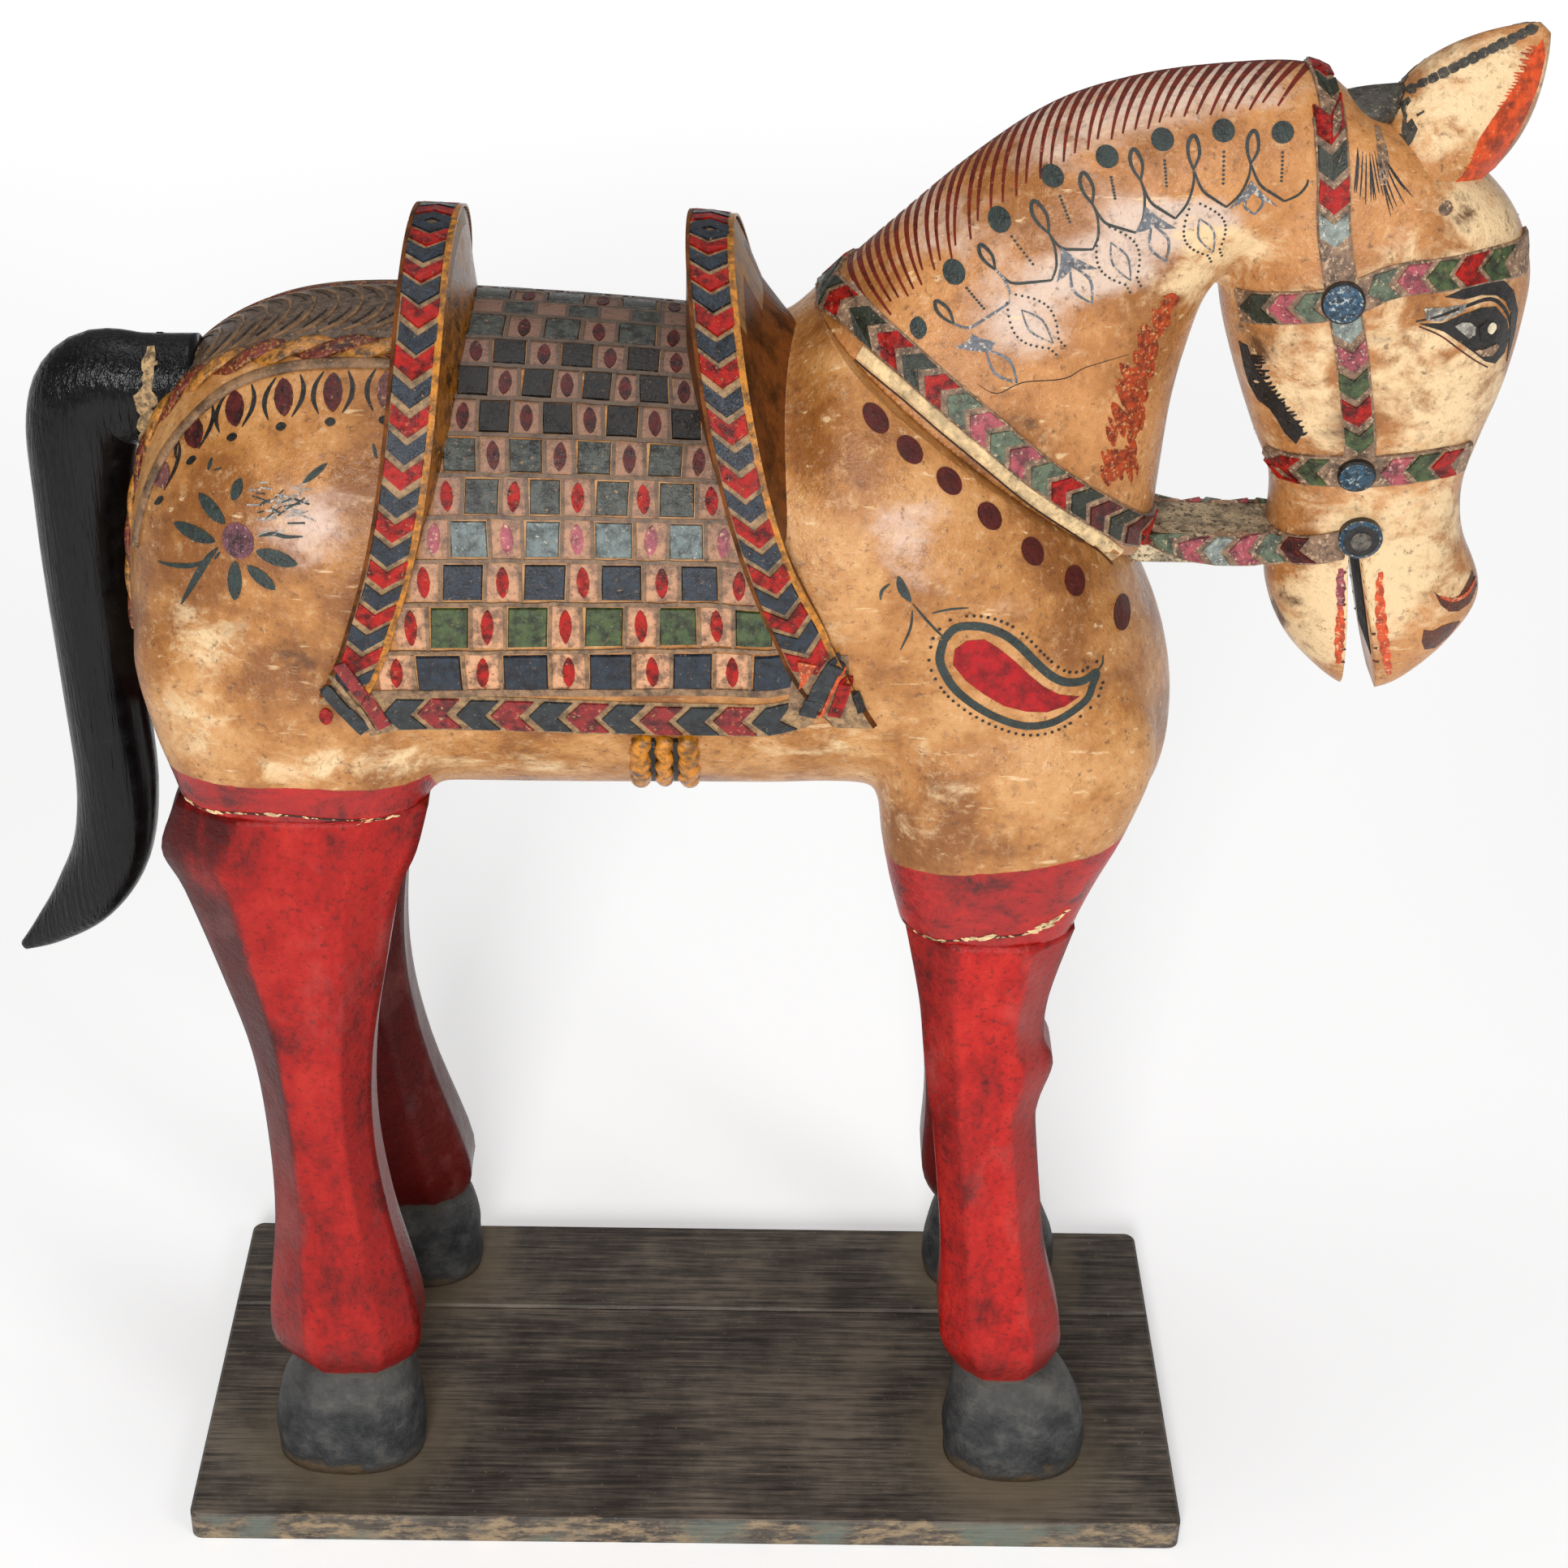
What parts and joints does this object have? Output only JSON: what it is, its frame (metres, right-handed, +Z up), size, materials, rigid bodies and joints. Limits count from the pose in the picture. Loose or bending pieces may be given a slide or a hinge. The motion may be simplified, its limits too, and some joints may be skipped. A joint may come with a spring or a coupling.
{
  "type": "carved wooden horse figure",
  "caption": "Carved and painted wooden wedding horse with saddle, bridle and curled tail, standing on a low plank stand.",
  "frame": {"origin": "on the underside of the stand, under the middle of the board's length, in the horse's middle plane", "axes": "+X towards the horse's head, +Y to the horse's left, +Z up"},
  "size_m": [0.8371, 0.271, 0.9283],
  "materials": {
    "ochre_paint": "glossy worn tan paint over solid wood, with painted saddle, flowers and bands",
    "cream_paint": "glossy worn cream and tan paint over solid wood, with painted bridle and mane",
    "red_lacquer": "glossy red lacquer over solid wood, hooves dull dark grey",
    "black_lacquer": "glossy black lacquer over grooved wood",
    "weathered_board": "dull dark worn plank wood"
  },
  "bodies": {
    "root": {"body": "ochre_paint", "neck_and_head": "cream_paint", "leg_fore_right": "red_lacquer", "leg_fore_left": "red_lacquer", "leg_hind_right": "red_lacquer", "leg_hind_left": "red_lacquer", "tail": "black_lacquer", "base_board_front": "weathered_board", "base_board_back": "weathered_board"}
  },
  "joints": []
}
